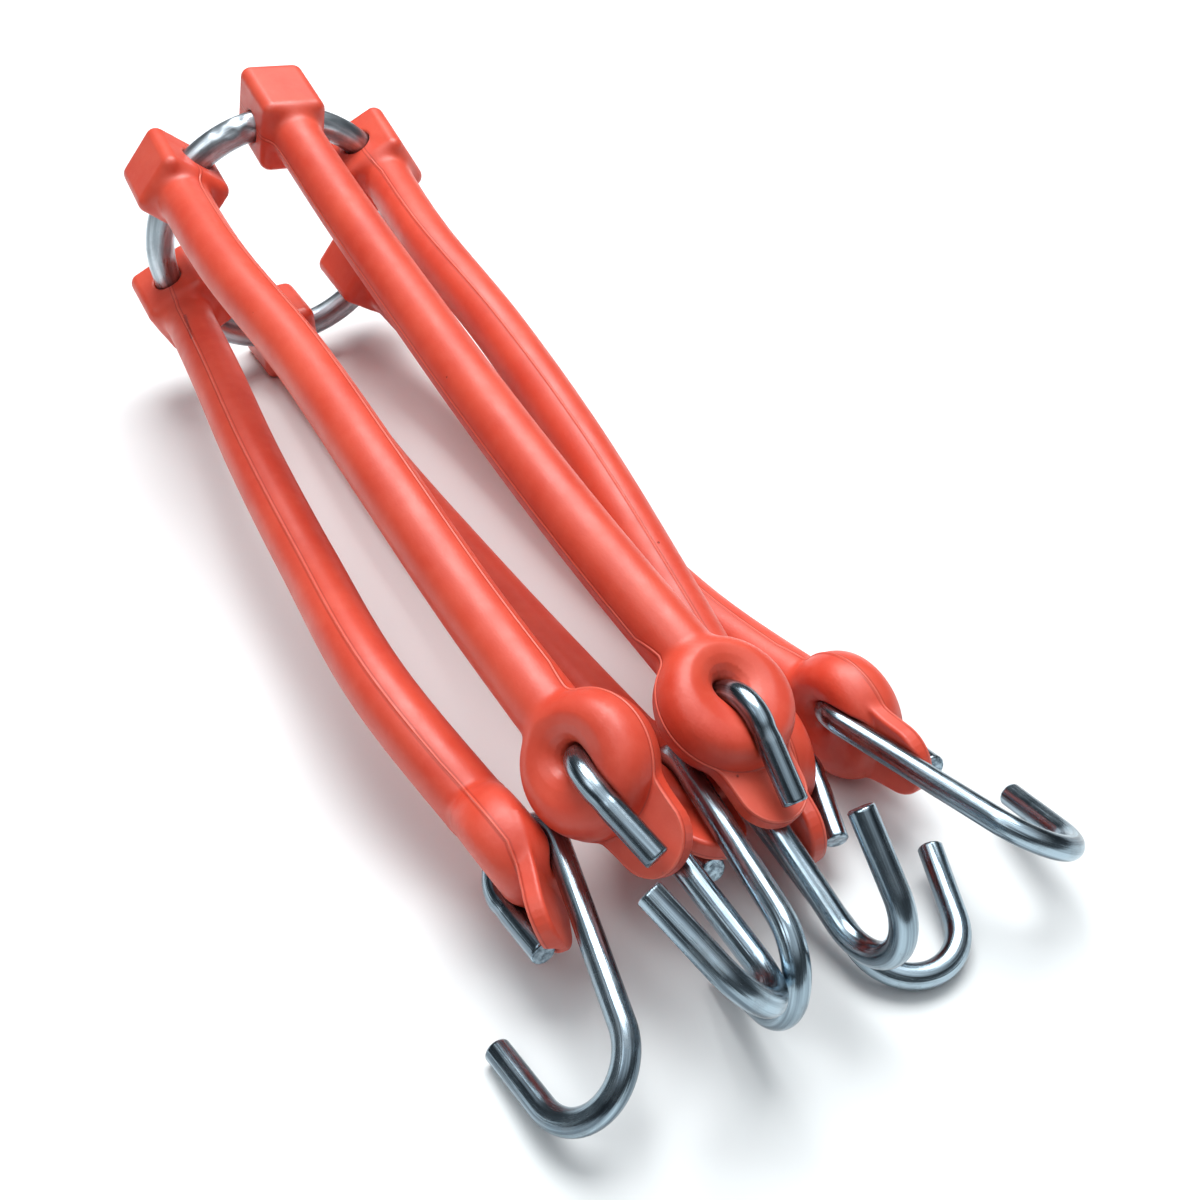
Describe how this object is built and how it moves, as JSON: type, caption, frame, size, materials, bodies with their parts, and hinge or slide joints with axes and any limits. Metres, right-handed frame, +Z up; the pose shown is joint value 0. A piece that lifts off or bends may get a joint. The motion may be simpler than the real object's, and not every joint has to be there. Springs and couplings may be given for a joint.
{
  "type": "spider bungee",
  "caption": "Moulded rubber straps gathered on a steel ring, each ending in an eyelet that holds a bent-wire hook, for tying down loads.",
  "frame": {"origin": "on the floor, under the middle of the box round the part", "axes": "+X from the ring to the hooks, +Z up from the floor the part lies on"},
  "size_m": [0.3623, 0.1532, 0.1122],
  "materials": {
    "rubber": "satin moulded rubber, coral red",
    "zinc_steel": "bright zinc plating"
  },
  "bodies": {
    "root": {"strap_a": "rubber", "strap_b": "rubber", "strap_c": "rubber", "strap_d": "rubber", "strap_e": "rubber", "strap_f": "rubber", "ring": "zinc_steel", "hook_a": "zinc_steel", "hook_b": "zinc_steel", "hook_c": "zinc_steel", "hook_d": "zinc_steel", "hook_e": "zinc_steel", "hook_f": "zinc_steel"}
  },
  "joints": []
}
